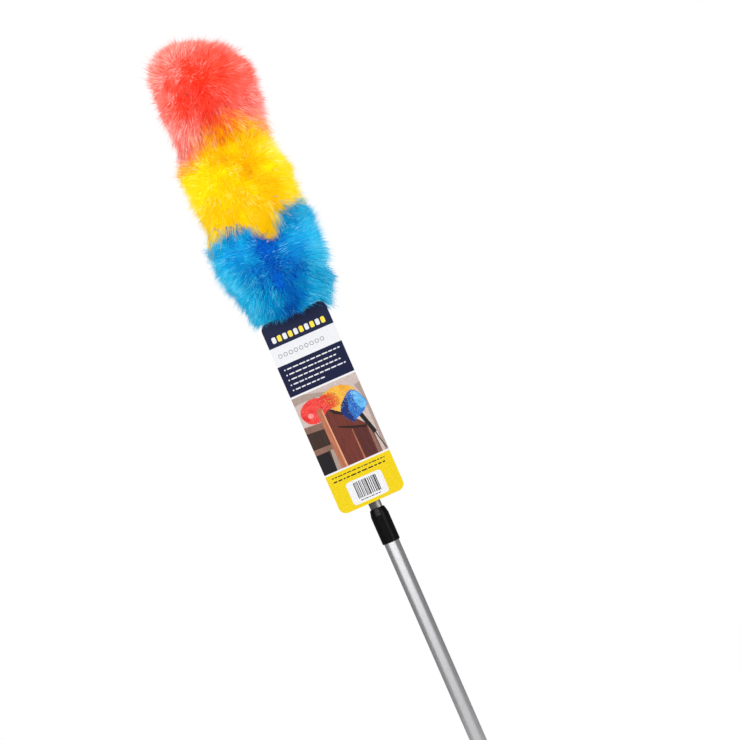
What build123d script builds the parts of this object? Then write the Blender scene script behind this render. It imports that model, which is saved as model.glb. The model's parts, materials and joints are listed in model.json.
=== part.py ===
from build123d import *
import math
import os

# Telescopic feather duster with a bendable three-colour head and a hang card.
# Millimetres. +Z runs up the pole to the tip of the head, and -Y is the card's printed side.
# The origin is the centre of the hanging hole in the pole's foot.

# ---- driving dimensions ---------------------------------------------------------------------

OUTER_TUBE_R = 9.5          # 19 mm aluminium tube
OUTER_TUBE_WALL = 0.8
INNER_TUBE_R = 7.5          # 15 mm aluminium tube
INNER_TUBE_WALL = 0.7
TUBE_BORE_R = OUTER_TUBE_R - OUTER_TUBE_WALL
INNER_BORE_R = INNER_TUBE_R - INNER_TUBE_WALL

EYE_R = 9.0                 # rounded end of the hanging tab
EYE_HOLE_R = 4.0
EYE_THICKNESS = 6.0

OUTER_TUBE_FOOT = 16.0      # heights above the hanging hole
OUTER_TUBE_TOP = 424.0
HAND_GRIP_R = 11.6
HAND_GRIP_TOP = 106.0
CAP_FLANGE_R = 11.2         # just inside the hand grip's outline

COLLAR_R = 11.1
COLLAR_TOP = 430.0
COLLAR_LENGTH = 44.0
COLLAR_NECK = 9.0           # height of the narrowing at its top
COLLAR_RIBS = 28

TRAVEL = 300.0              # telescopic travel of the inner tube
RUNNING_GAP = 0.08          # radial clearance of a running fit
INNER_TUBE_FOOT = 76.0
INNER_TUBE_TOP = 478.0

SPINDLE_R = 3.0
SLEEVE_TOP = 71.0           # split sleeve of the twist lock
SLEEVE_LENGTH = 21.0
SLEEVE_R = 8.5
CONE_LENGTH = 18.5
CONE_WIDE_R = 7.0
CONE_NARROW_R = 3.6
WEDGE_GAP = 0.35            # open gap between cone and sleeve when unlocked
SLIT = 2.0

SPIGOT_R = 6.0
SPIGOT_LENGTH = 40.0
SPIGOT_FLANGE = 3.0
GRIP_FOOT = INNER_TUBE_TOP + SPIGOT_FLANGE + 0.3
GRIP_TOP = 640.0
GRIP_WALL = 2.0
SOCKET_DEPTH = 44.0

NECK_TUBE_R = 4.5
NECK_TUBE_FOOT = 604.0
SLEEVE_TUBE_R = 4.0         # plastic tube round the wire inside the head
WIRE_R = 1.6
FERRULE_R = 8.0
FERRULE_FOOT = 662.0
FERRULE_LENGTH = 22.0

CARD_WIDTH = 83.0
CARD_FOOT = 438.5
CARD_LENGTH = 244.5
CARD_CORNER_R = 9.0
CARD_THICKNESS = 0.5
CARD_FRONT_Y = -15.5        # outer face of the front panel
CARD_MARGIN = 12.0          # bonded side strips of the back panel
CARD_BACK_Y = 15.5          # outer face of the back panel's channel
CARD_CHANNEL = 15.0         # half width of the channel's flat

HEAD_FOOT = 684.0           # lowest fibres of the head
BENDS = [729.0, 790.0, 848.0, 905.0, 963.0]    # heights of the five places where the core bends
WIRE_TOP = 1004.0
HEAD_TOP = 1033.0
BEND_LIMIT = 30.0           # degrees each way at each bend
GROOVE_ANGLE = BEND_LIMIT / 2 + 0.5
SEGMENT_GAP = 0.3           # from a bend's axis to the pieces on either side of it
FIBRE_SKIN = 1.2            # skin of each hollow fibre solid

# name, lowest height, (lowest, middle, highest radius), sideways offset of each fibre segment
SEGMENTS = [
    ("blue_lower", HEAD_FOOT, (46.0, 54.5, 60.0), 6.0),
    ("blue_upper", BENDS[0], (61.0, 64.0, 62.5), 4.5),
    ("yellow_lower", BENDS[1], (58.0, 59.5, 60.5), 7.0),
    ("yellow_upper", BENDS[2], (60.5, 59.5, 54.0), 4.0),
    ("red_lower", BENDS[3], (53.0, 56.0, 57.5), 10.0),
    ("red_tip", BENDS[4], (57.6, 57.6, 0.0), 10.0),
]


# ---- helpers --------------------------------------------------------------------------------

def turned(points, x=0.0):
    """A solid of revolution about a vertical axis at x, from (radius, height) corners."""
    outline = make_face(Plane.XZ * Polyline(*points, close=True))
    return Pos(x, 0, 0) * revolve(outline, Axis.Z)


def rod(radius, foot, top):
    return Pos(0, 0, foot) * Cylinder(radius, top - foot, align=(Align.CENTER, Align.CENTER, Align.MIN))


def pipe(radius, bore, foot, top):
    return rod(radius, foot, top) - rod(bore, foot - 1, top + 1)


def save(shape, node):
    """Writes one piece, named as its node."""
    solids = shape.solids()
    piece = solids[0] if len(solids) == 1 else Compound(children=list(solids))
    piece.label = node
    export_step(piece, f"parts/{node}.step")


# ---- pole -----------------------------------------------------------------------------------

def outer_tube():
    return pipe(OUTER_TUBE_R, TUBE_BORE_R, OUTER_TUBE_FOOT, OUTER_TUBE_TOP)


def end_cap():
    """Moulded plug in the foot of the outer tube, with a flange and a hanging tab."""
    plug_top = OUTER_TUBE_FOOT + 18
    flange_foot = OUTER_TUBE_FOOT - 4
    plug = turned([
        (0, flange_foot), (CAP_FLANGE_R - 1.2, flange_foot), (CAP_FLANGE_R, flange_foot + 1.2),
        (CAP_FLANGE_R, OUTER_TUBE_FOOT), (TUBE_BORE_R, OUTER_TUBE_FOOT), (TUBE_BORE_R, plug_top - 1),
        (TUBE_BORE_R - 1, plug_top), (0, plug_top),
    ])
    hollow = rod(TUBE_BORE_R - 2.2, OUTER_TUBE_FOOT + 2, plug_top + 1)
    eye = Rot(90, 0, 0) * Cylinder(EYE_R, EYE_THICKNESS)
    stem = Pos(0, 0, flange_foot / 2 + 0.5) * Box(2 * EYE_R, EYE_THICKNESS, flange_foot + 1)
    tab = fillet((eye + stem).edges().filter_by(GeomType.CIRCLE), 1.2)
    hole = Rot(90, 0, 0) * Cylinder(EYE_HOLE_R, 2 * EYE_THICKNESS)
    return plug - hollow + tab - hole


def hand_grip():
    """Soft sleeve on the foot of the pole, with a raised rim and five shallow grooves near its top."""
    outline = [(OUTER_TUBE_R, OUTER_TUBE_FOOT), (HAND_GRIP_R, OUTER_TUBE_FOOT)]
    groove_foot, groove_pitch, groove_depth = HAND_GRIP_TOP - 26, 4.0, 0.7
    for i in range(5):
        z = groove_foot + i * groove_pitch
        outline += [(HAND_GRIP_R, z), (HAND_GRIP_R - groove_depth, z + 0.6)]
        outline += [(HAND_GRIP_R - groove_depth, z + 1.4), (HAND_GRIP_R, z + 2.0)]
    outline += [(HAND_GRIP_R, HAND_GRIP_TOP - 2), (HAND_GRIP_R - 1.2, HAND_GRIP_TOP)]
    outline += [(OUTER_TUBE_R, HAND_GRIP_TOP)]
    return turned(outline)


def pole_collar():
    """Collar pressed over the outer tube's top, with an inner lip above the tube and fine grip ribs."""
    foot = COLLAR_TOP - COLLAR_LENGTH
    shoulder = COLLAR_TOP - COLLAR_NECK
    lip_bore = INNER_TUBE_R + 0.35
    body = turned([
        (OUTER_TUBE_R, foot), (COLLAR_R - 0.9, foot), (COLLAR_R, foot + 1.2), (COLLAR_R, shoulder),
        (COLLAR_R - 0.8, shoulder + 4), (COLLAR_R - 1.9, COLLAR_TOP - 0.6), (COLLAR_R - 2.4, COLLAR_TOP),
        (lip_bore, COLLAR_TOP), (lip_bore, OUTER_TUBE_TOP), (OUTER_TUBE_R, OUTER_TUBE_TOP),
    ])
    rib_length = shoulder - foot - 6
    groove = rod(0.35, foot + 3, foot + 3 + rib_length)
    for i in range(COLLAR_RIBS):
        body -= Rot(0, 0, 360 / COLLAR_RIBS * i) * Pos(COLLAR_R + 0.12, 0, 0) * groove
    return body


def guide_bush():
    """Nylon bush in the outer tube's top that the inner tube runs in, and the upper stop of its travel."""
    foot = SLEEVE_TOP + TRAVEL + 0.3
    return pipe(TUBE_BORE_R, INNER_TUBE_R + RUNNING_GAP, foot, OUTER_TUBE_TOP)


# ---- twist lock -----------------------------------------------------------------------------

def inner_tube():
    return pipe(INNER_TUBE_R, INNER_BORE_R, INNER_TUBE_FOOT, INNER_TUBE_TOP)


def cone_top():
    return SLEEVE_TOP - SLEEVE_LENGTH / 2 + CONE_LENGTH / 2 - 2.0


def lock_spindle():
    """Plug pressed in the inner tube's foot, with a flange and the screw that the cone runs on."""
    flange_foot = INNER_TUBE_FOOT - 3
    rod_foot = cone_top() - CONE_LENGTH - 6
    return turned([
        (0, rod_foot), (SPINDLE_R, rod_foot), (SPINDLE_R, flange_foot), (INNER_TUBE_R, flange_foot),
        (INNER_TUBE_R, INNER_TUBE_FOOT), (INNER_BORE_R, INNER_TUBE_FOOT),
        (INNER_BORE_R, INNER_TUBE_FOOT + 17), (INNER_BORE_R - 1, INNER_TUBE_FOOT + 18),
        (0, INNER_TUBE_FOOT + 18),
    ])


def spindle_stop():
    """Round nut on the spindle's end that keeps the cone on."""
    top = cone_top() - CONE_LENGTH - 1.5
    return pipe(5.6, SPINDLE_R, top - 4, top)


def lock_cone():
    """Wedge nut that climbs the spindle and spreads the split sleeve. Its rib runs in the sleeve's slit."""
    top = cone_top()
    foot = top - CONE_LENGTH
    cone = turned([
        (SPINDLE_R + RUNNING_GAP, foot), (CONE_WIDE_R, foot), (CONE_NARROW_R, top),
        (SPINDLE_R + RUNNING_GAP, top),
    ])
    rib_reach = SLEEVE_R - 0.8
    rib = Pos(rib_reach / 2, 0, foot + 3) * Box(rib_reach, SLIT - 0.4, 6)
    return cone + (rib - rod(SPINDLE_R + RUNNING_GAP, foot - 1, top))


def lock_sleeve():
    """Split expanding sleeve that grips the outer tube's bore when the cone is drawn into it."""
    foot = SLEEVE_TOP - SLEEVE_LENGTH
    slope = (CONE_WIDE_R - CONE_NARROW_R) / CONE_LENGTH
    seat_top = SLEEVE_TOP - 1.5
    top_bore = CONE_NARROW_R + slope * (cone_top() - seat_top) + WEDGE_GAP
    foot_bore = CONE_NARROW_R + slope * (cone_top() - foot) + WEDGE_GAP
    ring = turned([
        (foot_bore, foot), (SLEEVE_R - 0.5, foot), (SLEEVE_R, foot + 0.5), (SLEEVE_R, SLEEVE_TOP - 0.5),
        (SLEEVE_R - 0.5, SLEEVE_TOP), (top_bore, SLEEVE_TOP), (top_bore, seat_top),
    ])
    slit = Pos(SLEEVE_R, 0, foot + SLEEVE_LENGTH / 2) * Box(2 * SLEEVE_R, SLIT, SLEEVE_LENGTH + 2)
    return ring - slit


def tip_spigot():
    """Plug in the inner tube's top whose spigot the detachable head pushes on to."""
    flange_top = INNER_TUBE_TOP + SPIGOT_FLANGE
    tip = flange_top + SPIGOT_LENGTH
    solid = turned([
        (0, INNER_TUBE_TOP - 30), (INNER_BORE_R - 1, INNER_TUBE_TOP - 30),
        (INNER_BORE_R, INNER_TUBE_TOP - 29), (INNER_BORE_R, INNER_TUBE_TOP),
        (INNER_TUBE_R, INNER_TUBE_TOP), (INNER_TUBE_R, flange_top), (SPIGOT_R, flange_top),
        (SPIGOT_R, tip - 2), (SPIGOT_R - 1.5, tip), (0, tip),
    ])
    return solid - rod(SPIGOT_R - 2, INNER_TUBE_TOP - 31, tip - 3)


# ---- head -----------------------------------------------------------------------------------

def head_grip():
    """Hollow moulded handle of the head, swelling in the hand and tapering to the neck."""
    outer = [
        (13.2, GRIP_FOOT), (14.0, GRIP_FOOT + 1.0), (14.0, GRIP_FOOT + 5.0), (12.2, GRIP_FOOT + 8.0),
        (11.6, GRIP_FOOT + 24.0), (12.6, GRIP_FOOT + 58.0), (12.2, GRIP_FOOT + 84.0),
        (9.6, GRIP_FOOT + 122.0), (8.4, GRIP_TOP - 3.0), (7.2, GRIP_TOP),
    ]
    shell = turned([(0, GRIP_FOOT)] + outer + [(0, GRIP_TOP)])
    cavity_foot = GRIP_FOOT + SOCKET_DEPTH
    cavity = turned([
        (0, cavity_foot), (11.6 - GRIP_WALL, cavity_foot), (12.6 - GRIP_WALL, GRIP_FOOT + 58.0),
        (12.2 - GRIP_WALL, GRIP_FOOT + 84.0), (10.4 - GRIP_WALL, NECK_TUBE_FOOT - 2),
        (0, NECK_TUBE_FOOT - 2),
    ])
    socket = rod(SPIGOT_R + 0.05, GRIP_FOOT - 1, cavity_foot + 1)
    neck_seat = rod(NECK_TUBE_R, NECK_TUBE_FOOT, GRIP_TOP + 1)
    wire_hole = rod(WIRE_R, NECK_TUBE_FOOT - 3, NECK_TUBE_FOOT + 1)
    return shell - cavity - socket - neck_seat - wire_hole


def ferrule():
    """Cap on the neck that closes the foot of the fibres."""
    top = FERRULE_FOOT + FERRULE_LENGTH
    return turned([
        (NECK_TUBE_R, FERRULE_FOOT), (FERRULE_R - 1.5, FERRULE_FOOT), (FERRULE_R, FERRULE_FOOT + 2),
        (FERRULE_R, top - 1), (FERRULE_R - 1, top), (NECK_TUBE_R, top),
    ])


def between_bends(foot, top, inset=0.0):
    """The space one segment may fill: a slab whose ends slope away from the bends' axes, which run
    along Y through the core. With inset, the same space with that much skin taken off."""
    half, depth = 120.0, 120.0
    rise = half * math.tan(math.radians(GROOVE_ANGLE))
    skin = SEGMENT_GAP + inset / math.cos(math.radians(GROOVE_ANGLE))
    low, high = foot + skin, top - skin
    outline = Polyline(
        (-half, low + rise), (0, low), (half, low + rise),
        (half, high - rise), (0, high), (-half, high - rise), close=True)
    return extrude(make_face(Plane.XZ * outline), depth, both=True)


def flat_foot(foot, top, inset=0.0):
    """As between_bends, but level at its foot, for the segment that stays on the grip."""
    half, depth = 120.0, 120.0
    rise = half * math.tan(math.radians(GROOVE_ANGLE))
    high = top - SEGMENT_GAP - inset / math.cos(math.radians(GROOVE_ANGLE))
    low = foot + inset
    outline = Polyline(
        (-half, low), (half, low), (half, high - rise), (0, high), (-half, high - rise), close=True)
    return extrude(make_face(Plane.XZ * outline), depth, both=True)


def barrel(foot, top, radii, offset, inset=0.0):
    """Bulging body of one fibre segment, or the rounded end of the head where its top radius is 0."""
    low, middle, high = (max(r - inset, 0) for r in radii)
    if high > 0:
        side = ThreePointArc((low, foot), (middle, (foot + top) / 2), (high, top))
        rest = Polyline((high, top), (0, top), (0, foot), (low, foot))
    else:
        side = EllipticalCenterArc((0, foot), low, top - inset - foot, start_angle=0, arc_size=90)
        rest = Polyline((0, top - inset), (0, foot), (low, foot))
    return Pos(offset, 0, 0) * revolve(make_face(Plane.XZ * Curve([side, rest])), Axis.Z)


def segment_space(index, inset=0.0):
    foot = SEGMENTS[index][1]
    if index == 0:
        return flat_foot(foot, BENDS[0], inset)
    top = BENDS[index] if index < len(BENDS) else HEAD_TOP + 200
    return between_bends(foot, top, inset)


def fibre_segment(index):
    """One segment of the fibre head: a hollow skin with the fibres' outer shape, open along the core."""
    name, foot, radii, offset = SEGMENTS[index]
    top = BENDS[index] if index < len(BENDS) else HEAD_TOP
    outer = barrel(foot, top, radii, offset) & segment_space(index)
    inner = barrel(foot, top, radii, offset, FIBRE_SKIN) & segment_space(index, FIBRE_SKIN)
    core_r = NECK_TUBE_R if index == 0 else SLEEVE_TUBE_R
    core_top = top if index < len(BENDS) else WIRE_TOP
    return outer - inner - rod(core_r, foot - 1, core_top)


def core_sleeve(index):
    """Plastic tube round the wire, in the length between two bends."""
    foot = SEGMENTS[index][1]
    top = BENDS[index] if index < len(BENDS) else WIRE_TOP - 4
    return pipe(SLEEVE_TUBE_R, WIRE_R, foot, top) & segment_space(index)


def core_wire(index):
    foot = SEGMENTS[index][1] if index > 0 else NECK_TUBE_FOOT - 2
    top = BENDS[index] if index < len(BENDS) else WIRE_TOP - 4
    space = flat_foot(foot, top) if index == 0 else segment_space(index)
    return rod(WIRE_R, foot, top) & space


def neck_tube():
    """Plastic tube from the grip to the first bend."""
    return pipe(NECK_TUBE_R, WIRE_R, NECK_TUBE_FOOT, BENDS[0]) & flat_foot(NECK_TUBE_FOOT, BENDS[0])


def tip_cap():
    """Rounded plug that covers the wire's end inside the fibres."""
    foot = WIRE_TOP - 4
    return rod(SLEEVE_TUBE_R, foot, foot + 2) + (
        Pos(0, 0, foot + 2) * Sphere(SLEEVE_TUBE_R) & rod(SLEEVE_TUBE_R + 1, foot + 2, foot + 10))


# ---- hang card ------------------------------------------------------------------------------

def card_front():
    """Flat printed panel with rounded corners."""
    outline = RectangleRounded(CARD_WIDTH, CARD_LENGTH, CARD_CORNER_R)
    centre = Plane((0, CARD_FRONT_Y, CARD_FOOT + CARD_LENGTH / 2), x_dir=(1, 0, 0), z_dir=(0, -1, 0))
    return extrude(centre * outline, -CARD_THICKNESS)


def card_back():
    """Folded panel: two side strips bonded behind the front panel, and a channel round the handle."""
    seam = CARD_FRONT_Y + CARD_THICKNESS
    half = CARD_WIDTH / 2
    fold = half - CARD_MARGIN
    t = CARD_THICKNESS
    inner = [(fold, seam + t), (CARD_CHANNEL, CARD_BACK_Y)]
    outline = [(-half, seam), (-fold + 0.4, seam), (-CARD_CHANNEL + 0.4, CARD_BACK_Y - t)]
    outline += [(CARD_CHANNEL - 0.4, CARD_BACK_Y - t), (fold - 0.4, seam), (half, seam)]
    outline += [(half, seam + t)] + inner + [(-x, y) for x, y in reversed(inner)] + [(-half, seam + t)]
    channel = Pos(0, 0, CARD_FOOT) * extrude(make_face(Polyline(*outline, close=True)), CARD_LENGTH)
    corners = Plane((0, 0, CARD_FOOT + CARD_LENGTH / 2), x_dir=(1, 0, 0), z_dir=(0, -1, 0)) * \
        RectangleRounded(CARD_WIDTH, CARD_LENGTH, CARD_CORNER_R)
    return channel & extrude(corners, 60, both=True)


# ---- build ----------------------------------------------------------------------------------

def main():
    os.makedirs("parts", exist_ok=True)
    pieces = [
        outer_tube, end_cap, hand_grip, pole_collar, guide_bush, inner_tube, lock_spindle, spindle_stop,
        lock_cone, lock_sleeve, tip_spigot, head_grip, neck_tube, ferrule, tip_cap, card_front, card_back,
    ]
    for piece in pieces:
        save(piece(), piece.__name__)
    for index, (name, *_) in enumerate(SEGMENTS):
        save(fibre_segment(index), f"fibre_{name}")
        save(core_wire(index), f"core_wire_{name}")
        if index > 0:
            save(core_sleeve(index), f"core_sleeve_{name}")


main()
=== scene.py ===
# Feather duster: fibres, printed card, materials, light and camera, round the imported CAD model.
# Lengths are in metres where MM appears and in millimetres on the card's print. Angles are radians.
import json
import math
from collections import namedtuple

import bpy
import numpy as np
from mathutils import Matrix, Vector

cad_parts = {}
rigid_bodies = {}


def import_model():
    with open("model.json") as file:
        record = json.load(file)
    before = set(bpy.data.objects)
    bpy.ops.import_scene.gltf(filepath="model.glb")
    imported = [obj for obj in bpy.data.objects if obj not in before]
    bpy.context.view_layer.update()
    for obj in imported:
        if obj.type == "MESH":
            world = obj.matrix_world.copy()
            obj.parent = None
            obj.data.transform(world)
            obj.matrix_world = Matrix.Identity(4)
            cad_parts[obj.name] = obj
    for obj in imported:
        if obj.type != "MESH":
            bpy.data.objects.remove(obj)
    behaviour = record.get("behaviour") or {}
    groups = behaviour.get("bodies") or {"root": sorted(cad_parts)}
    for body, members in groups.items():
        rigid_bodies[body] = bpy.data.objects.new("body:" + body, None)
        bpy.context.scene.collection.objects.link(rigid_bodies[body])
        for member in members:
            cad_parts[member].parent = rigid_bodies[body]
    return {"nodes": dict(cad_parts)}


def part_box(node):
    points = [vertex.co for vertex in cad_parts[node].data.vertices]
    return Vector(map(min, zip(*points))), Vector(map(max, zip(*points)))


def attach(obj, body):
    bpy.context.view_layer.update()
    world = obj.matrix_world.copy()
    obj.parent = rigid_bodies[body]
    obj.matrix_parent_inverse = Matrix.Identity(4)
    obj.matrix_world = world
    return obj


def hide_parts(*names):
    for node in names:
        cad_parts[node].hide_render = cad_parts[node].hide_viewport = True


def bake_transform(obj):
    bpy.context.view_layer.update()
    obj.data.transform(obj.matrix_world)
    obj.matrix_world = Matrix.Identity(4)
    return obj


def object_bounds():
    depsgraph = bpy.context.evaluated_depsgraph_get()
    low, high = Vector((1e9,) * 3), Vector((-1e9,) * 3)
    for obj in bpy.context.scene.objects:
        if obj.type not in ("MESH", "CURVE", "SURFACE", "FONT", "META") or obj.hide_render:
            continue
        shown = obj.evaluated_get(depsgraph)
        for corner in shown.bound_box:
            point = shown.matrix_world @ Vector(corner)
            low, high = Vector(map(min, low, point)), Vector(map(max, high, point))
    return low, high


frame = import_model()
cad_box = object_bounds()
rng = np.random.default_rng(11)
MM = 0.001
TAU = 2 * math.pi
FRONT = -math.pi / 2        # angle round the head that faces the card's printed side
LEFT = math.pi              # angle round the head that faces the picture's left


# ---- materials ------------------------------------------------------------------------------

def linear(r, g, b):
    """An sRGB colour of 0 to 255 as linear RGBA."""
    c = np.array([r, g, b]) / 255
    c = np.where(c <= 0.04045, c / 12.92, ((c + 0.055) / 1.055) ** 2.4)
    return (*c.tolist(), 1.0)


def principled(name, colour, roughness=0.5, metallic=0.0, **sockets):
    """A Principled material. sockets are further input names, with _ for a space."""
    mat = bpy.data.materials.new(name)
    mat.use_nodes = True
    shader = mat.node_tree.nodes["Principled BSDF"]
    shader.inputs["Base Color"].default_value = colour
    shader.inputs["Roughness"].default_value = roughness
    shader.inputs["Metallic"].default_value = metallic
    for key, value in sockets.items():
        shader.inputs[key.replace("_", " ")].default_value = value
    return mat, shader


# Each colour of fibre in seven tints, dark to pale: the dark ones are painted shade between the roots, the
# pale ones painted highlight, up to the painted glint of a tip.
FIBRE_TINTS = {
    "blue": [(0, 64, 152), (0, 88, 182), (0, 114, 198), (0, 138, 202), (0, 160, 210), (20, 186, 226),
             (116, 210, 238)],
    "yellow": [(252, 184, 0), (254, 197, 0), (255, 204, 0), (255, 207, 0), (255, 212, 2), (255, 222, 44),
               (255, 240, 150)],
    "orange": [(246, 96, 0), (252, 118, 0), (255, 138, 0), (255, 156, 0), (255, 174, 12), (255, 192, 62),
               (255, 222, 160)],
    "red": [(238, 40, 20), (246, 52, 28), (252, 64, 40), (253, 84, 64), (252, 108, 94), (252, 142, 132),
            (255, 204, 198)],
}
BLUE, YELLOW, ORANGE, RED = range(4)        # the colours' places in FIBRE_TINTS
TINTS = len(FIBRE_TINTS["blue"])


def fibre_palette():
    """One silky material for each tint of each colour, colour by colour."""
    return [principled(f"fibre_{family}_{i}", linear(*tint), 0.4, Specular_IOR_Level=0.06)[0]
            for family, tints in FIBRE_TINTS.items() for i, tint in enumerate(tints)]


def underfur_materials():
    """The dense fibre roots: fine upright strands between each colour's two darkest tints, the darkest
    dimmed further, as painted shade deep between the fibres.
    """
    strands = (700, 700, 160)
    return [textured(f"underfur_{family}", [0.88 * c for c in tints[0]], tints[1], strands, (0.8, 0.95),
                     1.0, Specular_IOR_Level=0.05)
            for family, tints in FIBRE_TINTS.items()]


# ---- the head's outline ---------------------------------------------------------------------

SEGMENTS = ["blue_lower", "blue_upper", "yellow_lower", "yellow_upper", "red_lower", "red_tip"]
boxes = [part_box(f"fibre_{name}") for name in SEGMENTS]
BENDS = np.array([high.z for low, high in boxes[:-1]])
FOOT = boxes[0][0].z
TOP = boxes[-1][1].z + 1 * MM

# How far the fibres reach left and right of the core, in mm, at the foot and at the middle of each
# length of fibre.
REACH = np.array([(43, 43), (50, 67), (58, 65), (66, 73), (64, 73), (57, 70),
                  (60, 75), (61, 60), (47, 66), (50, 74), (50, 79), (45, 66)]) * MM
DOME_ROUND = (1.55, 1.35)    # how full the head's end is, left and right of the core
feet = np.array([FOOT, *BENDS])
middles = (feet + np.array([*BENDS, TOP])) / 2
HEIGHTS = np.stack([feet, middles], 1).ravel()
DOME = HEIGHTS[-1]
LOBE_LOW = np.array([FOOT, BENDS[1], BENDS[3]])
LOBE_HIGH = np.array([BENDS[1], BENDS[3], TOP])


def outline(z):
    """Sideways offset and radius of the surface that the fibre tips reach, at heights z."""
    u = np.clip((z - DOME) / (TOP - DOME), 0, 1)
    left, right = (np.interp(z, HEIGHTS, REACH[:, i]) * (1 - u ** power) ** (1 / power)
                   for i, power in enumerate(DOME_ROUND))
    return (right - left) / 2, (right + left) / 2


def unit(v):
    """v as vectors one long."""
    return v / np.maximum(np.linalg.norm(v, axis=-1, keepdims=True), 1e-9)


def hump(x, width):
    """1 where x is 0, falling smoothly to nothing within about two widths."""
    return np.exp(-(x / width) ** 2)


def waves(wavelength, count=12):
    """A smooth random function of place, about 0 with a spread of 1, that changes over a wavelength."""
    ways = unit(rng.normal(0, 1, (count, 3))) * TAU / wavelength / rng.uniform(0.7, 1.5, (count, 1))
    phase = rng.uniform(0, TAU, count)

    def value(points):
        return np.sin(points @ ways.T + phase).sum(1) * math.sqrt(2 / count)
    return value


lump, ripple, swirl_up, swirl_round = (waves(length * MM) for length in (52, 24, 55, 55))


def turned_from(theta, centre):
    """Angle from centre to theta, from -pi to pi."""
    return (theta - centre + math.pi) % TAU - math.pi


def tuft_at(theta):
    """Share of the way into the yellow tuft that hangs over the blue at the front."""
    return hump(turned_from(theta, FRONT + 0.12), 0.27)


def colour_at(theta, z, stray):
    """Each lock's colour by its place. stray is a random height that frays the borders."""
    front = hump(turned_from(theta, FRONT + 0.3), 0.8)
    tuft = tuft_at(theta)
    left = hump(turned_from(theta, LEFT), 0.4)
    low = BENDS[1] + (14 + 4 * np.sin(2 * theta + 0.5) - 28 * tuft - 10 * left) * MM
    low = low + stray * (5 - 2 * tuft)
    high = BENDS[3] + (-8 + 4 * np.cos(3 * theta) + 30 * front) * MM + stray * 9
    return np.select([z < low, z < high - 16 * MM, z < high + 2 * MM], [BLUE, YELLOW, ORANGE], RED)


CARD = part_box("card_front")[1].copy()       # the card's half width, half depth and top
CARD.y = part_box("card_back")[1].y


# ---- locks of fibre -------------------------------------------------------------------------

UNDERSIDE_RISE = 8 * MM     # the underside of the head is slightly hollow
WHORL_ABOVE = (12 * MM, 8 * MM, 6 * MM)     # where each lobe's fibres part, above its middle
DROOP = 4 * MM              # how far the tips hang
STAND_PROUD = 12 * MM       # the most that a tip may stand outside the CAD model
CREASE = FRONT + 0.03       # the parting down the front of the blue lobe


def scatter(count):
    """Heights, sideways offsets, radii and angles of count points spread evenly over the outline, from
    the middle of its underside to its top."""
    z = np.linspace(FOOT, TOP - 0.2 * MM, 600)
    offset, r = outline(z)
    under = np.linspace(0.3, 1, 40)[:-1]
    z = np.concatenate([FOOT + UNDERSIDE_RISE * (1 - under), z])
    offset = np.concatenate([offset[0] * under, offset])
    r = np.concatenate([r[0] * under, r])
    step = np.hypot(np.diff(z), np.diff(r)) * (r[1:] + r[:-1]) / 2
    share = np.concatenate([[0], np.cumsum(step)])
    pick = rng.uniform(0, share[-1], count)
    z, offset, r = (np.interp(pick, share, values) for values in (z, offset, r))
    return z, offset, r, rng.uniform(0, TAU, count)


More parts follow.
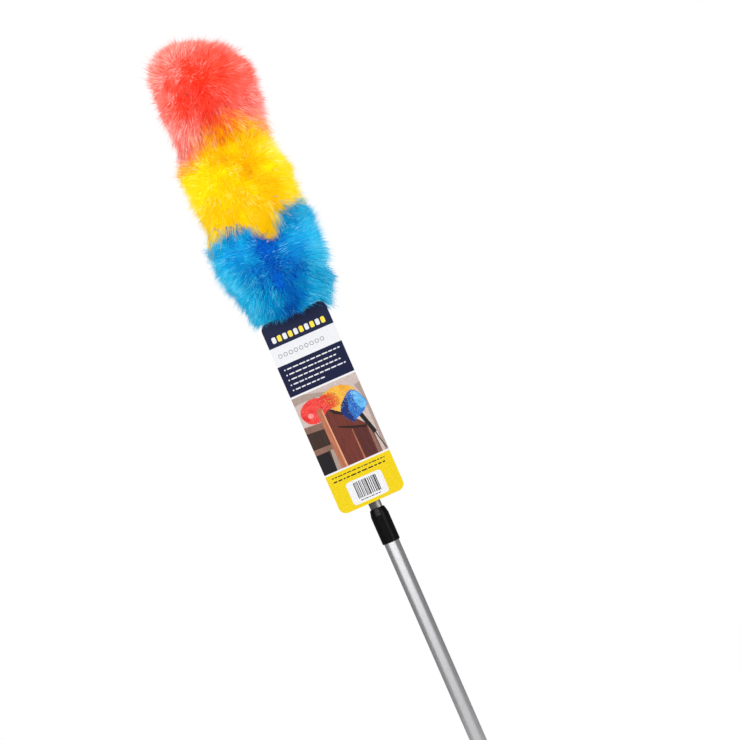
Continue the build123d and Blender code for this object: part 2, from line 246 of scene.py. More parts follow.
def locks(count):
    """Root, bend and tip of count locks of fibre, with each one's colour, tint and height."""
    z, offset, r, theta = scatter(count)
    place = np.stack([offset + r * np.cos(theta), r * np.sin(theta), z], 1)
    lobe = np.searchsorted(LOBE_HIGH[:-1], z)
    low, high = LOBE_LOW[lobe], LOBE_HIGH[lobe]
    whorl = (low + high) / 2 + np.array(WHORL_ABOVE)[lobe]

    proud = lump(place)
    in_blue = np.clip((BENDS[1] - z) / (20 * MM), 0, 1)
    aside = turned_from(theta, CREASE)
    crease = hump(aside, 0.16) * in_blue
    ragged = np.where(z > BENDS[3], 3.0, 2.0)
    reach = r + (2.0 * proud + ripple(place) - 2.7 + rng.normal(0, ragged) - 4 * crease) * MM

    outward = np.stack([np.cos(theta), np.sin(theta), np.zeros(count)], 1)
    around = np.stack([-np.sin(theta), np.cos(theta), np.zeros(count)], 1)
    up = np.array([[0, 0, 1.0]])
    root = np.zeros((count, 3))
    root[:, 2] = np.clip(whorl + (z - whorl) * 0.62, FOOT + 10 * MM, TOP - 48 * MM)

    lift = (z - whorl) / (high - low) * 2
    flow_up = (10 * lift * (z < DOME) + 4 * swirl_up(place)) * MM - DROOP * (z < DOME)
    flow_up += 2 * MM * hump(z - FOOT, 14 * MM)
    flow_round = 6 * MM * swirl_round(place)
    flow_round += 5 * MM * np.tanh(aside / 0.2) * hump(aside, 0.6) * in_blue
    tip = np.stack([offset + reach * np.cos(theta), reach * np.sin(theta), z], 1)
    tip[:, 2] = np.minimum(tip[:, 2], TOP)
    bend = root + (tip - root) * 0.66 + outward * 2 * MM
    bend -= around * flow_round[:, None] * 0.35 + up * flow_up[:, None] * 0.35
    tip = tip + around * flow_round[:, None] + up * flow_up[:, None]
    tip[:, 2] = np.maximum(tip[:, 2], fringe(place, tip))

    colour = colour_at(theta, z, rng.normal(0, 1, count) * MM)
    # Painted light and shade, as tint steps: a paler painted highlight on proud lumps and a paler painted
    # rim at the head's left and right sides.
    at_side = np.cos(theta) ** 4
    shade = 0.5 * proud + 0.9 * at_side
    # Painted shade down the blue lobe's front crease, and paler painted light to either side of it.
    shade += (0.85 - crease - 1.6 * hump(aside, 0.42)) * in_blue
    # Blue locks above the blue lobe miss its painted light, so they are lifted out of the darkest tints.
    shade += 0.9 * ((colour == BLUE) & (z > BENDS[1]))
    # Painted shade at the red lobe's whorl, where its fibres part, and paler painted light away from it:
    # above it all round, below it only at the sides.
    from_whorl = 1 - hump(z - whorl, 30 * MM)
    shade += (z > BENDS[3]) * (1.9 * from_whorl * np.where(z > whorl, 1, abs(np.cos(theta))) - 0.3)
    tint = np.round(np.minimum(shade, 1.8) + rng.normal(0, 0.55, count)).astype(int)
    # Painted glints: some locks take the pale glint tint, more of them at the sides, on the blue's flanks
    # and where the coat stands proud.
    glints = GLINTS * (1 + 2 * at_side + 2 * in_blue * np.cos(theta) ** 2)
    glints += GLINTS_PROUD * (ripple(place) > 1.4)
    tint = np.where(rng.uniform(0, 1, count) < glints, GLINT_TINT, tint)
    return root, bend, tip, colour, tint, z


def fringe(place, tip):
    """The lowest that each tip may hang, so that the fibres end just over the card's top."""
    inside = (abs(tip[:, 0]) < CARD.x + 5 * MM) & (abs(tip[:, 1]) < CARD.y + 5 * MM)
    beside = np.clip(abs(tip[:, 0]) / (CARD.x + 3 * MM), 0, 1)
    in_front = CARD.z + (-2.5 + 6 * beside ** 2 + ripple(place) + rng.normal(0, 1.5, len(tip))) * MM
    return np.where(inside, CARD.z + 3 * MM, np.where(beside < 1, in_front, 0))


Coat = namedtuple("Coat", "locks per_lock rings begin end width tints")
# A coat's tints are those of its rings, root to tip: a darker root ring is painted shade deep in the coat.
COATS = [Coat(locks=9000, per_lock=8, rings=2, begin=0.68, end=0.93, width=0.24, tints=(2, 3)),
         Coat(locks=13500, per_lock=9, rings=2, begin=0.74, end=1.0, width=0.14, tints=(3, 3))]
GLINTS = 0.02               # share of locks given a pale tint as a painted glint
GLINTS_PROUD = 0.12         # the same, where the coat stands proud
# The tint step that a painted glint's locks take, paler than the coat's own tints.
GLINT_TINT = 3
SIDES = 3                   # each fibre is a thin three-sided spike
NORMAL_LEAN = 2.2           # how far a fibre's normals lean from its side towards its tip
STRAYS = 0.025              # share of fibres that stand out of their lock


def fibres(coat):
    """Root, bend and tip of every fibre's curve, its radius, colour and tint, and its lock's height."""
    root, bend, tip, colour, tint, z = (np.repeat(x, coat.per_lock, axis=0) for x in locks(coat.locks))
    n = len(z)
    together = rng.normal(0, 1, (n, 3)) * MM
    root = root + rng.normal(0, 5, (n, 3)) * MM
    bend = bend + together * 3.6
    tip = tip + together * 2.4 + rng.normal(0, 1.2, (n, 3)) * MM
    stray = rng.uniform(0, 1, (n, 1)) < STRAYS
    longer = np.where(stray, rng.uniform(1, 4.5, (n, 1)), rng.normal(-1.5, 2.0, (n, 1)))
    tip = tip + (unit(tip - bend) * longer + stray * rng.normal(0, 2, (n, 3))) * MM
    tip = np.clip(tip, np.array(cad_box[0]) - STAND_PROUD, np.array(cad_box[1]) + STAND_PROUD)
    width = coat.width * rng.uniform(0.8, 1.2, n) * MM
    tint = tint + rng.choice([-1, 0, 0, 0, 1], n)
    return root, bend, tip, width, colour, tint, z


def spike_points(coat, root, bend, tip, width):
    """Vertices of three-sided spikes that taper along the coat's share of root, bend, tip curves, and
    their normals, which lean outwards, so that the coat is lit as one soft surface."""
    n = len(root)
    t = np.linspace(0, 1, coat.rings + 1)
    begin = coat.begin + rng.uniform(-0.05, 0.05, (n, 1, 1))
    s = begin + (coat.end - begin) * t[:, None]
    path = (1 - s) ** 2 * root[:, None] + 2 * s * (1 - s) * bend[:, None] + s ** 2 * tip[:, None]
    along = unit((1 - s) * (bend - root)[:, None] + s * (tip - bend)[:, None])
    side = unit(np.cross(along, rng.normal(0, 1, (n, 1, 3))))
    other = np.cross(along, side)
    taper = width[:, None, None] * (1 - 0.65 * t[:-1, None] ** 2)
    outward = unit(tip - root)[:, None]
    corners, normals = [], []
    for angle in np.arange(SIDES) * TAU / SIDES:
        way = (side * math.cos(angle) + other * math.sin(angle))[:, :-1]
        corners.append(path[:, :-1] + way * taper)
        normals.append(unit(outward * NORMAL_LEAN + way))
    rings, normals = (np.stack(v, 2).reshape(n, coat.rings * SIDES, 3) for v in (corners, normals))
    points = np.concatenate([rings, path[:, -1:]], 1).reshape(-1, 3)
    return points, np.concatenate([normals, outward], 1).reshape(-1, 3)


def spike_faces(coat, n):
    """Quads and triangles of n spikes, and the ring that each face of one spike starts from."""
    step = np.arange(SIDES)
    after = (step + 1) % SIDES
    quads = np.concatenate([
        np.stack([r * SIDES + step, r * SIDES + after, (r + 1) * SIDES + after, (r + 1) * SIDES + step], 1)
        for r in range(coat.rings - 1)])
    last = (coat.rings - 1) * SIDES
    tris = np.stack([last + step, last + after, np.full(SIDES, coat.rings * SIDES)], 1)
    tris = np.concatenate([tris, [[2, 1, 0]]])
    first = (np.arange(n) * (coat.rings * SIDES + 1))[:, None, None]
    quad_ring = np.repeat(np.arange(coat.rings - 1), SIDES)
    tri_ring = np.array([coat.rings - 1] * SIDES + [0])
    return (quads + first).reshape(-1, SIDES + 1), (tris + first).reshape(-1, 3), quad_ring, tri_ring


def mesh_object(name, vertices, faces, slots, mats):
    """A smooth mesh object from arrays of faces, each array with one number of corners."""
    mesh = bpy.data.meshes.new(name)
    corners = np.concatenate([np.full(len(f), f.shape[1]) for f in faces])
    loops = np.concatenate([f.ravel() for f in faces])
    mesh.vertices.add(len(vertices))
    mesh.vertices.foreach_set("co", np.asarray(vertices, np.float32).ravel())
    mesh.loops.add(len(loops))
    mesh.loops.foreach_set("vertex_index", loops.astype(np.int32))
    mesh.polygons.add(len(corners))
    mesh.polygons.foreach_set("loop_start", (np.cumsum(corners) - corners).astype(np.int32))
    mesh.polygons.foreach_set("material_index", np.asarray(slots, np.int32))
    mesh.polygons.foreach_set("use_smooth", np.ones(len(corners), bool))
    for mat in mats:
        mesh.materials.append(mat)
    mesh.update(calc_edges=True)
    obj = bpy.data.objects.new(name, mesh)
    bpy.context.scene.collection.objects.link(obj)
    return obj


def fibre_piece(name, coat, root, bend, tip, width, colour, tint, palette):
    """A mesh of fibres, each with its own tint from its ring of the coat's tints."""
    quads, tris, quad_ring, tri_ring = spike_faces(coat, len(root))

    def slots(ring):
        tints = np.clip(np.array(coat.tints)[ring] + tint[:, None], 0, TINTS - 1)
        return (colour[:, None] * TINTS + tints).ravel()

    points, normals = spike_points(coat, root, bend, tip, width)
    face_slots = np.concatenate([slots(quad_ring), slots(tri_ring)])
    piece = mesh_object(name, points, [quads, tris], face_slots, palette)
    piece.data.normals_split_custom_set_from_vertices(normals.astype(np.float32))
    return piece


# ---- underfur -------------------------------------------------------------------------------

UNDERFUR_DEPTH = 12.5 * MM  # how far it lies under the fibre tips
AROUND, ALONG, OVERLAP = 180, 36, 7 * MM    # its columns and rows, and how far one piece enters the next


def underfur_piece(name, low, high, mats):
    """A closed lumpy barrel that fills the head inside the fibres from height low to high."""
    z_low = max(low, FOOT + 6 * MM) - OVERLAP * (low > FOOT)
    z_high = min(high + OVERLAP, TOP - 12 * MM)
    z = np.linspace(z_low, z_high, ALONG)
    offset, r = outline(z)
    r = r - UNDERFUR_DEPTH
    theta = np.arange(AROUND) * TAU / AROUND
    zz, tt = np.meshgrid(z, theta, indexing="ij")
    points = np.stack([offset[:, None] + r[:, None] * np.cos(tt), r[:, None] * np.sin(tt), zz], 2)
    points = points.reshape(-1, 3)
    bump = (2 * lump(points) + 1.5 * ripple(points)) * MM
    points = points + unit(points * [1, 1, 0]) * bump[:, None]
    ends = np.array([[offset[0], 0, z_low + 4 * MM], [offset[-1], 0, z_high + 3 * MM]])
    row, col = np.meshgrid(np.arange(ALONG - 1), np.arange(AROUND), indexing="ij")
    here, after = row * AROUND + col, row * AROUND + (col + 1) % AROUND
    quads = np.stack([here, after, after + AROUND, here + AROUND], 2).reshape(-1, 4)
    rim = np.arange(AROUND)
    rim_after = (rim + 1) % AROUND
    top = (ALONG - 1) * AROUND
    foot_centre, top_centre = (np.full(AROUND, len(points) + i) for i in (0, 1))
    tris = np.concatenate([np.stack([rim_after, rim, foot_centre], 1),
                           np.stack([top + rim, top + rim_after, top_centre], 1)])
    vertices = np.concatenate([points, ends])
    colour = [underfur_colour(vertices[f].mean(1)) for f in (quads, tris)]
    return mesh_object(name, vertices, [quads, tris], np.concatenate(colour), mats)


def underfur_colour(centres):
    """As the fibres over it, with borders set back under the fibres of the colour that hangs over."""
    theta = np.arctan2(centres[:, 1], centres[:, 0])
    set_back = (2 - 9 * tuft_at(theta)) * MM
    return colour_at(theta, centres[:, 2] + set_back, ripple(centres) * 0.4 * MM)


PIECE_FACES = 190_000       # the most triangles in one piece of fibres


def build_head():
    """Fibres and underfur, in one region for each bend of the core."""
    palette, under = fibre_palette(), underfur_materials()
    coats = [(coat, *fibres(coat)) for coat in COATS]
    limits = [FOOT - 1, *(BENDS[:-1] + BENDS[1:]) / 2, TOP + 1]
    for k, bend in enumerate(BENDS):
        low, high = limits[k], limits[k + 1]
        pieces = [underfur_piece(f"underfur_{k + 1}", max(low, FOOT), min(high, TOP), under)]
        for coat, *curves, z in coats:
            where = rng.permutation(np.flatnonzero((z >= low) & (z < high)))
            count = math.ceil(len(where) * (6 * coat.rings - 2) / PIECE_FACES)
            for pick in np.array_split(where, count):
                pieces.append(fibre_piece(f"fibres_{k + 1}_{len(pieces)}", coat, *(c[pick] for c in curves),
                                          palette))
        for piece in pieces:
            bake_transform(piece)
        last = k == len(BENDS) - 1
        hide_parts(*[f"fibre_{name}" for name in SEGMENTS[k:k + 1 + last]])


# ---- printed card ---------------------------------------------------------------------------

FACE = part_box("card_front")[0].y            # the card's printed face
CARD_CORNER = 9                             # mm
INK_STEP = 0.03 * MM                        # each layer of print stands this far above the last
# Borders of the card's bands, in mm: foot of the navy head, of the white band and of the navy panel,
# top and foot of the picture, and top of the yellow foot.
HEIGHTS_ON_CARD = (652.3, 629.3, 590.6, 588.3, 489.6, 487.6)


def ink(name, colour, other=None, scale=(400, 400, 400), roughness=0.35):
    """Ink under a thin varnish, mottled between two close colours by noise."""
    mat, shader = principled(name, linear(*colour), roughness, Specular_IOR_Level=0.3, Coat_Weight=0.08,
                             Coat_Roughness=0.25)
    mottle(mat, shader, linear(*colour), linear(*(other or [c * 0.94 for c in colour])), scale)
    return mat


def mottle(mat, shader, colour, other, scale):
    """Drives a shader's colour between two colours by noise in the object's own space."""
    nodes, links = mat.node_tree.nodes, mat.node_tree.links
    place, stretch = nodes.new("ShaderNodeTexCoord"), nodes.new("ShaderNodeMapping")
    noise, ramp = nodes.new("ShaderNodeTexNoise"), nodes.new("ShaderNodeValToRGB")
    stretch.inputs["Scale"].default_value = scale
    noise.inputs["Scale"].default_value = 1.0
    noise.inputs["Detail"].default_value = 4.0
    for stop, at, value in zip(ramp.color_ramp.elements, (0.35, 0.65), (colour, other)):
        stop.position, stop.color = at, value
    links.new(place.outputs["Object"], stretch.inputs["Vector"])
    links.new(stretch.outputs["Vector"], noise.inputs["Vector"])
    links.new(noise.outputs["Fac"], ramp.inputs["Fac"])
    links.new(ramp.outputs["Color"], shader.inputs["Base Color"])
    return noise


class Print:
    """Flat shapes of ink on the card's face, given in mm from the core's axis and the hanging hole."""

    def __init__(self):
        self.vertices, self.faces, self.slots, self.inks = [], [], [], []

    def shape(self, outline, colour, layer):
        """A flat patch of ink. Its outline may run either way round."""
        if colour not in self.inks:
            self.inks.append(colour)
        x, z = np.array(outline).T
        if (x * np.roll(z, -1) - np.roll(x, -1) * z).sum() < 0:
            outline = outline[::-1]
        n, first = len(outline), len(self.vertices)
        for y in (FACE - layer * INK_STEP, FACE):
            self.vertices += [(x * MM, y, z * MM) for x, z in outline]
        self.faces.append([first + i for i in range(n)])
        self.faces.append([first + n + i for i in reversed(range(n))])
        self.faces += [[first + i, first + n + i, first + n + (i + 1) % n, first + (i + 1) % n]
                       for i in range(n)]
        self.slots += [self.inks.index(colour)] * (n + 2)

    def bar(self, x0, x1, z0, z1, colour, layer, corner=None):
        """A rectangle with round ends or corners."""
        half = min(x1 - x0, z1 - z0) / 2
        r = half if corner is None else min(corner, half)
        self.shape(rounded(x0, x1, z0, z1, r), colour, layer)

    def words(self, x0, x1, z, height, colour, layer, longest):
        """A row of bars of uneven lengths that stands for a line of small print. It isn't lettering."""
        x = x0
        while x < x1 - height:
            end = min(x + rng.uniform(0.35, 1) * longest, x1)
            self.bar(x, end, z - height / 2, z + height / 2, colour, layer)
            x = end + height * 0.8

    def build(self, name):
        """All the shapes as one object with one material for each ink."""
        mesh = bpy.data.meshes.new(name)
        mesh.from_pydata(self.vertices, [], self.faces)
        for mat in self.inks:
            mesh.materials.append(mat)
        mesh.polygons.foreach_set("material_index", self.slots)
        mesh.update()
        obj = bpy.data.objects.new(name, mesh)
        bpy.context.scene.collection.objects.link(obj)
        return obj


def arc(x, z, r, start, end, steps=8):
    """Points on an arc from one angle to another, in degrees."""
    angles = np.radians(np.linspace(start, end, steps))
    return [(x + r * math.cos(a), z + r * math.sin(a)) for a in angles]


def rounded(x0, x1, z0, z1, r):
    """Corners of a rounded rectangle, seen from the front."""
    if r <= 0:
        return [(x0, z0), (x1, z0), (x1, z1), (x0, z1)]
    return [*arc(x1 - r, z0 + r, r, -90, 0), *arc(x1 - r, z1 - r, r, 0, 90),
            *arc(x0 + r, z1 - r, r, 90, 180), *arc(x0 + r, z0 + r, r, 180, 270)]


def band(z0, z1, foot, top):
    """The stretch of the card from z0 to z1, with the card's own corners at its foot and top."""
    half, r = CARD.x / MM, CARD_CORNER
    low, high = [(-half, z0), (half, z0)], [(half, z1), (-half, z1)]
    if foot:
        low = [*arc(-half + r, z0 + r, r, 180, 270), *arc(half - r, z0 + r, r, 270, 360)]
    if top:
        high = [*arc(half - r, z1 - r, r, 0, 90), *arc(-half + r, z1 - r, r, 90, 180)]
    return low + high


def smooth(points, steps=5):
    """A closed curve through the points (Catmull-Rom)."""
    p = np.array(points, float)
    before, after, later = np.roll(p, 1, 0), np.roll(p, -1, 0), np.roll(p, -2, 0)
    t = np.linspace(0, 1, steps, endpoint=False)[:, None, None]
    curve = 0.5 * (2 * p + (after - before) * t + (2 * before - 5 * p + 4 * after - later) * t ** 2
                   + (3 * p - before - 3 * after + later) * t ** 3)
    return [tuple(v) for v in curve.transpose(1, 0, 2).reshape(-1, 2)]


def furry(points):
    """A closed curve through the points with a fuzzy edge."""
    curve = np.array(smooth(points, 9))
    outwards = unit(curve - curve.mean(0))
    push = rng.uniform(0.3, 1.5, (len(curve), 1)) * (np.arange(len(curve)) % 2)[:, None]
    return [tuple(v) for v in curve + outwards * push]


def strokes(sheet, points, inks, layer, count):
    """Short strokes of fibre inside the shape that a curve through the points encloses."""
    curve = np.array(smooth(points))
    centre = curve.mean(0)
    for edge in curve[rng.integers(0, len(curve), count)]:
        foot = centre + (edge - centre) * rng.uniform(0.15, 0.9)
        way = unit(edge - centre + rng.normal(0, 1.5, 2))
        across = np.array([-way[1], way[0]]) * rng.uniform(0.15, 0.35)
        tip = foot + way * rng.uniform(1.5, 3.6)
        colour = inks[rng.integers(len(inks))]
        sheet.shape([tuple(foot - across), tuple(foot + across), tuple(tip)], colour, layer)


def print_card():
    """A plain design: navy head, white band, navy panel of ruled lines, a picture and a yellow foot."""
    foot, top = (v.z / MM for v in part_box("card_front"))
    head_foot, band_foot, panel_foot, picture_top, picture_foot, yellow_top = HEIGHTS_ON_CARD
    sheet = Print()
    navy, white = ink("ink_navy", (17, 25, 58)), ink("ink_white", (214, 214, 216), (209, 209, 212))
    yellow = ink("ink_yellow", (215, 187, 0), (210, 183, 0))
    grey, black = ink("ink_grey", (112, 114, 122)), ink("ink_black", (26, 24, 24))
    sun, navy_deep = ink("ink_sun", (246, 214, 70)), ink("ink_navy_deep", (8, 16, 54))

    sheet.shape(band(head_foot, top, False, True), navy, 1)
    sheet.shape(band(band_foot, head_foot, False, False), white, 1)
    sheet.shape(band(panel_foot, band_foot, False, False), navy_deep, 1)
    sheet.shape(band(picture_top, panel_foot, False, False), white, 1)
    sheet.shape(band(yellow_top, picture_foot, False, False), white, 1)
    sheet.shape(band(foot, yellow_top, True, False), yellow, 1)

    # Plain ornament in place of the names that such a card carries: even blocks and even rings.
    for i in range(10):
        x = -34.5 + 7 * i
        sheet.bar(x, x + 5, 657, 664.5, (white, sun)[i % 2], 2, 1.6)
    for i in range(9):
        x = -35 + 6.7 * i
        sheet.bar(x, x + 5, 638, 643, grey, 2)
        sheet.bar(x + 0.7, x + 4.3, 638.7, 642.3, white, 3)
    for z, end in zip((623.2, 616.7, 610.3, 604.0, 597.4), (36.5, 29, 32, 36, 6)):
        sheet.bar(-35.2, -33.4, z - 0.9, z + 0.9, white, 2)
        sheet.words(-31.5, end, z, 1.5, white, 2, 8)
    sheet.words(-35, 33, 482.6, 1.2, black, 2, 6)
    sheet.words(-35, 33, 477.6, 1.6, black, 2, 8)
    sheet.bar(-23, 22.5, 442.8, 471.5, white, 2, 4)
    x = -14.5
    while x < 13.5:
        width = rng.choice([0.6, 1.1, 1.7])
        sheet.bar(x, x + width, 448.5, 468.5, black, 3, 0)
        x += width + rng.choice([0.6, 0.9, 1.3])
    sheet.words(-13, 13, 446, 1.0, black, 3, 5)
    door_picture(sheet, black)
    return sheet.build("card_print")


PICTURE_YELLOW, PICTURE_RED = (214, 150, 44), (204, 38, 36)


def door_picture(sheet, black):
    """A drawing of a duster bent over the top of a door."""
    def wood(name, colour, other):
        return ink(name, colour, other, (1300, 1300, 70), 0.4)

    fuzz = (90, 90, 90)         # the noise's scale in the lobes of fibre
    ceiling, beam = ink("ink_ceiling", (188, 172, 167), (176, 159, 153)), ink("ink_beam", (158, 139, 129))
    frame_dark = wood("ink_frame", (44, 28, 22), (58, 38, 30))
    lintel = wood("ink_lintel", (132, 98, 84), (110, 80, 68))
    opening, shade = ink("ink_opening", (22, 18, 22)), ink("ink_shade", (42, 22, 20))
    door = wood("ink_door", (106, 46, 36), (86, 35, 28))
    panel = wood("ink_panel", (84, 36, 31), (68, 29, 26))
    edge, gleam = wood("ink_door_edge", (176, 108, 78), (150, 86, 62)), ink("ink_gleam", (214, 152, 116))

    sheet.shape([(-41.5, 489.6), (41.5, 489.6), (41.5, 588.3), (-41.5, 588.3)], ceiling, 1)
    sheet.shape([(-41.5, 579), (-26, 580), (-6, 578), (0, 581), (-26, 588.3), (-41.5, 588.3)], beam, 2)
    sheet.shape([(34, 575), (41.5, 577), (41.5, 489.6), (37.5, 489.6), (38, 560)], beam, 2)
    sheet.shape([(-41.5, 541), (-18, 538), (-18, 549), (-41.5, 551)], lintel, 2)
    sheet.shape([(-41.5, 489.6), (-18, 489.6), (-18, 541), (-41.5, 543)], frame_dark, 3)
    sheet.shape([(-41.5, 515), (-18, 515), (-18, 521), (-41.5, 522)], lintel, 4)
    sheet.shape([(-41.5, 489.6), (-24.5, 489.6), (-25.5, 514), (-41.5, 514)], opening, 4)
    sheet.shape([(-24.5, 489.6), (-18, 489.6), (-18, 515), (-23, 515)], beam, 5)
    sheet.shape([(-12, 489.6), (34, 489.6), (33, 523), (9, 551), (-4, 560), (-12, 565)], door, 4)
    sheet.shape([(13, 489.6), (28, 489.6), (27.5, 524), (12.5, 529)], panel, 5)
    sheet.shape([(-6, 560), (9, 551.5), (22, 538), (20, 536), (8, 547), (-2, 553)], shade, 6)
    sheet.shape([(-4, 538), (12, 531.5), (29, 526), (28, 523.5), (12, 528.5), (-2, 535)], shade, 6)
    sheet.shape([(10.2, 489.6), (12.2, 489.6), (11.4, 528), (10.4, 528)], edge, 6)
    sheet.shape([(28.5, 489.6), (33.5, 489.6), (31, 524), (29, 525)], lintel, 6)

    middle_lobe = [(-8, 576), (0, 580.5), (10, 582), (20, 580.5), (28, 576), (32, 570), (24, 566),
                   (15, 560), (8, 552.5), (2, 556), (-4, 564)]
    end_lobe = [(-38, 563), (-36, 571), (-29, 577), (-20, 579), (-11, 577), (-4, 572), (1, 565),
                (-2, 561), (-9, 559), (-15, 553), (-24, 550.5), (-32, 553)]
    first_lobe = [(9, 556), (15, 563), (22, 569), (28, 571), (33, 567), (37, 559), (39, 551),
                  (35, 545), (29, 541), (22, 538), (17, 535.5), (12, 541), (8, 549)]
    lit_side = [(27, 569), (33, 566), (37, 559), (39, 551), (35, 546), (30, 549), (27, 558)]
    dark_side = [(9, 556), (15, 563), (19, 566), (18, 557), (16, 548), (19, 538), (17, 535.5), (12, 541),
                 (8, 549)]
    red_join = [(-10, 576), (-4, 578), (1, 574), (3, 567), (0, 561), (-5, 561), (-8, 568)]
    shine = [(-31, 561), (-29, 564), (-26, 563), (-25, 560), (-28, 558)]
    amber = [ink("ink_picture_yellow", PICTURE_YELLOW, (222, 172, 62), fuzz),
             ink("ink_amber", (196, 126, 30)), ink("ink_straw", (236, 198, 104))]
    crimson = [ink("ink_picture_red", PICTURE_RED, (222, 70, 64), fuzz),
               ink("ink_crimson", (168, 24, 28)), ink("ink_rose", (232, 112, 106))]
    cobalt = [ink("ink_picture_blue", (30, 68, 150), (44, 108, 184), fuzz),
              ink("ink_cobalt", (18, 42, 104)), ink("ink_sky", (96, 170, 222))]
    for lobe, inks, layer, count in ((middle_lobe, amber, 7, 110), (end_lobe, crimson, 8, 130),
                                     (first_lobe, cobalt, 9, 130)):
        sheet.shape(furry(lobe), inks[0], layer)
        if lobe is first_lobe:
            lit = ink("ink_picture_sky", (66, 144, 204), (90, 170, 218), fuzz)
            sheet.shape(furry(lit_side), lit, 10)
            sheet.shape(furry(dark_side), cobalt[1], 10)
        strokes(sheet, lobe, inks[1:], 11, count)
    for step in range(4):
        colour = [round(a + (b - a) * (step + 1) / 5) for a, b in zip(PICTURE_YELLOW, PICTURE_RED)]
        moved = [(x + 8 - 3 * step, z) for x, z in red_join]
        sheet.shape(furry(moved), ink(f"ink_join_{step}", colour), 7.2 + 0.2 * step)
    strokes(sheet, red_join, [amber[0], crimson[0]], 11, 50)
    strokes(sheet, lit_side, [cobalt[2], ink("ink_frost", (190, 220, 236))], 12, 40)
    sheet.shape(furry(shine), ink("ink_picture_pink", (236, 142, 140)), 9)

    sheet.shape([(-18.5, 489.6), (-10.5, 489.6), (-12.5, 564.5), (-15.5, 566), (-19.5, 563)], edge, 12)
    sheet.shape([(-12.4, 489.6), (-10.5, 489.6), (-12.5, 562), (-13.8, 562)], gleam, 13)
    sheet.shape([(24.5, 541), (29, 543.5), (37.2, 514.5), (33, 513)], black, 8)
    sheet.shape([(34.2, 514), (35.4, 514.2), (40.4, 492), (39.4, 491.6)], black, 8)


# ---- materials of the CAD parts -------------------------------------------------------------

def textured(name, colour, other, scale, roughness, bump=0.0, metallic=0.0, **sockets):
    """A moulded, drawn or brushed surface: noise at the given scale drives its colour, gloss and relief."""
    mat, shader = principled(name, linear(*colour), 0.5, metallic, **sockets)
    noise = mottle(mat, shader, linear(*colour), linear(*other), scale)
    nodes, links = mat.node_tree.nodes, mat.node_tree.links
    gloss = nodes.new("ShaderNodeMapRange")
    gloss.inputs["To Min"].default_value, gloss.inputs["To Max"].default_value = roughness
    links.new(noise.outputs["Fac"], gloss.inputs["Value"])
    links.new(gloss.outputs["Result"], shader.inputs["Roughness"])
    if bump:
        relief = nodes.new("ShaderNodeBump")
        relief.inputs["Strength"].default_value = bump
        relief.inputs["Distance"].default_value = 0.1 * MM
        links.new(noise.outputs["Fac"], relief.inputs["Height"])
        links.new(relief.outputs["Normal"], shader.inputs["Normal"])
    return mat


def dress_cad():
    """Gives each CAD part the finish of what it is made of."""
    along = (4000, 4000, 14)    # drawn tube: fine lines along its length
    fine, medium, coarse = (2800,) * 3, (1500,) * 3, (1200,) * 3
    outer = textured("satin_aluminium", (204, 204, 206), (198, 198, 200), along, (0.3, 0.36), 0.02, 1.0)
    # The inner tube is darker than the outer one as painted shade: the card's shadow falls on the stub
    # below it.
    inner = textured("inner_aluminium", (134, 132, 132), (126, 124, 124), along, (0.4, 0.46), 0.04, 1.0)
    black = textured("black_plastic", (4, 4, 5), (7, 7, 8), (2400,) * 3, (0.28, 0.38), 0.05,
                     Specular_IOR_Level=0.08)
    handle = textured("handle_plastic", (10, 10, 11), (16, 16, 17), medium, (0.38, 0.5), 0.2)
    rubber = textured("grip_rubber", (22, 22, 24), (30, 30, 32), fine, (0.68, 0.82), 0.35)
    nylon = textured("white_nylon", (214, 212, 204), (204, 202, 192), coarse, (0.4, 0.52), 0.1)
    nylon_dark = textured("grey_nylon", (70, 72, 76), (60, 62, 66), coarse, (0.4, 0.52), 0.1)
    steel = textured("steel_wire", (150, 150, 152), (132, 132, 136), along, (0.28, 0.42), 0.1, 1.0)
    core = textured("core_plastic", (196, 196, 190), (184, 184, 178), coarse, (0.45, 0.55), 0.1)
    board = textured("card_board", (206, 204, 198), (196, 193, 186), (700, 700, 260), (0.62, 0.78), 0.15)
    finish = {"outer_tube": outer, "inner_tube": inner, "end_cap": handle, "hand_grip": rubber,
              "pole_collar": black, "guide_bush": nylon_dark, "lock_spindle": nylon,
              "spindle_stop": nylon_dark, "lock_cone": nylon_dark, "lock_sleeve": nylon,
              "tip_spigot": nylon_dark, "head_grip": handle, "neck_tube": handle, "ferrule": black,
              "tip_cap": black, "card_front": board, "card_back": board, "core_wire": steel,
              "core_sleeve": core}
    for obj in list(bpy.data.objects):
        kind = obj.name if obj.name in finish else obj.name.rsplit("_", 2)[0]
        if obj.type == "MESH" and kind in finish and obj.name in frame["nodes"]:
            for slot in obj.material_slots:
                slot.material = finish[kind]


# ---- studio ---------------------------------------------------------------------------------

def softbox(name, place, size, strength, aim, lit=None):
    """A rectangular area light. lit is a collection of objects that it lights, or that it leaves out."""
    light = bpy.data.lights.new(name, "AREA")
    light.shape, light.size, light.size_y = "RECTANGLE", *size
    light.energy = strength
    obj = bpy.data.objects.new(name, light)
    bpy.context.scene.collection.objects.link(obj)
    obj.location = place
    obj.rotation_euler = (Vector(aim) - Vector(place)).to_track_quat("-Z", "Y").to_euler()
    obj.visible_camera = False
    if lit:
        obj.light_linking.receiver_collection = lit


def collect(name, starts):
    """A collection of the objects whose names start so, for light linking."""
    found = bpy.data.collections.new(name)
    for obj in bpy.data.objects:
        if obj.name.startswith(starts):
            found.objects.link(obj)
    return found


AMBIENT = 0.40              # light from all round, as white walls give
REFLECTED = 0.3             # the same walls as gloss and metal see them, darker, so that edges read


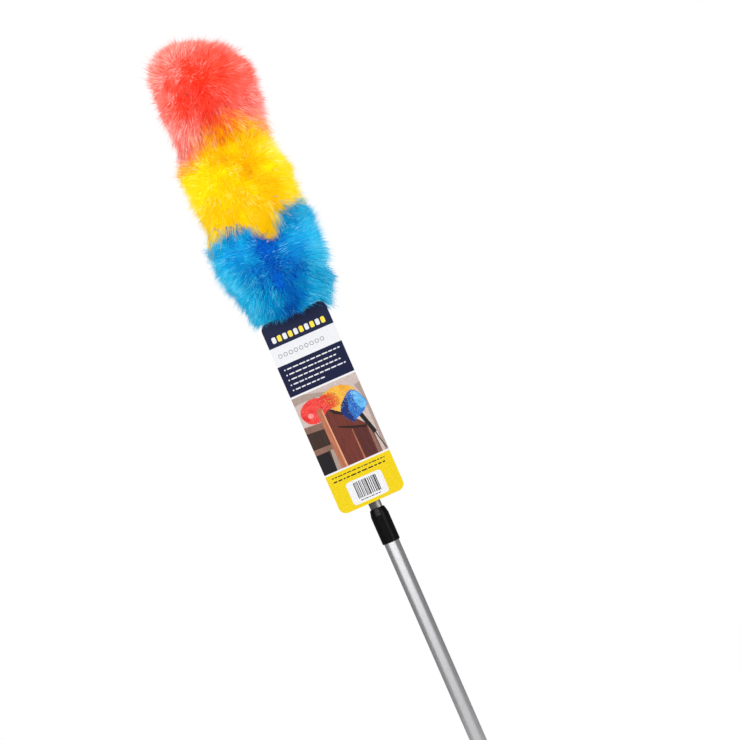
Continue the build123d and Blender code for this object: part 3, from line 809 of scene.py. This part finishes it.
def surroundings():
    """White to the camera, AMBIENT to matt surfaces and REFLECTED to glossy ones."""
    world = bpy.data.worlds.new("studio")
    bpy.context.scene.world = world
    world.use_nodes = True
    nodes, links = world.node_tree.nodes, world.node_tree.links
    background = nodes["Background"]
    background.inputs["Color"].default_value = (1, 1, 1, 1)
    path = nodes.new("ShaderNodeLightPath")
    product = nodes.new("ShaderNodeMath")
    product.operation = "MULTIPLY"
    for i, (ray, otherwise, then) in enumerate((("Is Camera Ray", AMBIENT, 1.0),
                                                ("Is Glossy Ray", 1.0, REFLECTED / AMBIENT))):
        level = nodes.new("ShaderNodeMapRange")
        level.inputs["To Min"].default_value = otherwise
        level.inputs["To Max"].default_value = then
        links.new(path.outputs[ray], level.inputs["Value"])
        links.new(level.outputs["Result"], product.inputs[i])
    links.new(product.outputs["Value"], background.inputs["Strength"])


def lights():
    """Soft boxes. The fibres, the tubes and the collar each have some of their own."""
    middle = (0.06, 0, 0.6)
    all_but_tubes = collect("not_tubes", ("outer_tube", "inner_tube"))
    for member in all_but_tubes.collection_objects:
        member.light_linking.link_state = "EXCLUDE"
    fibres_only = collect("head_fibres", ("fibres_", "underfur_"))
    pole, stub, collar = (collect(name, name) for name in ("outer_tube", "inner_tube", "pole_collar"))
    softbox("key", (-1.6, -2.6, 1.9), (1.8, 1.8), 85, middle, all_but_tubes)
    softbox("fill", (2.2, -2.4, 0.9), (1.6, 1.8), 45, middle, all_but_tubes)
    softbox("back", (0.0, 2.6, 1.6), (1.8, 1.8), 70, middle)
    softbox("tube_front", (-0.1, -1.2, 0.74), (2.8, 0.92), 16, (0, 0, 0.74), pole)
    softbox("stub_side", (1.3, -0.8, 0.5), (1.5, 0.8), 14, (0, 0, 0.43), stub)
    softbox("collar_above", (0.0, -1.2, 0.95), (0.35, 0.25), 9, (0, 0, 0.42), collar)
    softbox("side_left", (-2.2, -0.3, 0.9), (1.2, 1.8), 22, middle, fibres_only)
    softbox("side_right", (2.3, -0.3, 0.9), (1.2, 1.8), 32, middle, fibres_only)
    softbox("front", (0.2, -3.0, 0.6), (2.0, 1.6), 42, middle, fibres_only)
    softbox("top", (0.1, -0.2, 2.7), (1.4, 1.4), 30, middle, fibres_only)


FLOOR = cad_box[0].z - 0.5 * MM
FLOOR_RADIUS = 1.3


def floor():
    """A round white floor just under the foot of the pole."""
    bpy.ops.mesh.primitive_circle_add(vertices=96, radius=FLOOR_RADIUS, fill_type="NGON",
                                      location=(0, 0, FLOOR))
    ground = bpy.context.object
    ground.name = "floor"
    white = linear(244, 244, 244)
    mat, shader = principled("floor_white", white, 0.8, Specular_IOR_Level=0.2)
    mottle(mat, shader, white, linear(243, 243, 243), (30, 30, 30))
    ground.data.materials.append(mat)


POLE_LEAN = math.radians(23.63)     # to the left, as the camera is rolled
PICTURE_WIDTH = 0.87875             # of the plane through the pole, from edge to edge
PICTURE_CENTRE = (0.0583, 0.1533)   # to the right of the collar's top, and above it


def camera():
    """Level with the object, square to the card, and far enough away to show no perspective."""
    data = bpy.data.cameras.new("camera")
    obj = bpy.data.objects.new("camera", data)
    bpy.context.scene.collection.objects.link(obj)
    bpy.context.scene.camera = obj
    data.lens, data.sensor_width = 300, 36
    distance = PICTURE_WIDTH * data.lens / data.sensor_width
    aim = Vector((PICTURE_CENTRE[0], 0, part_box("pole_collar")[1].z + PICTURE_CENTRE[1]))
    right = Vector((math.cos(POLE_LEAN), 0, -math.sin(POLE_LEAN)))
    up = Vector((math.sin(POLE_LEAN), 0, math.cos(POLE_LEAN)))
    back = Vector((0, -1, 0))
    turn = Matrix((right, up, back)).transposed().to_4x4()
    obj.matrix_world = Matrix.Translation(aim + back * distance) @ turn


# ---- the scene ------------------------------------------------------------------------------

FIBRE_BOUNCES = 16          # light passes from fibre to fibre many times before it leaves the head

build_head()
card = print_card()
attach(card, "head_base")
dress_cad()
camera()
surroundings()
lights()
floor()
bpy.context.scene.view_settings.view_transform = "Standard"
bpy.context.scene.cycles.diffuse_bounces = FIBRE_BOUNCES
bpy.context.scene.cycles.max_bounces = FIBRE_BOUNCES
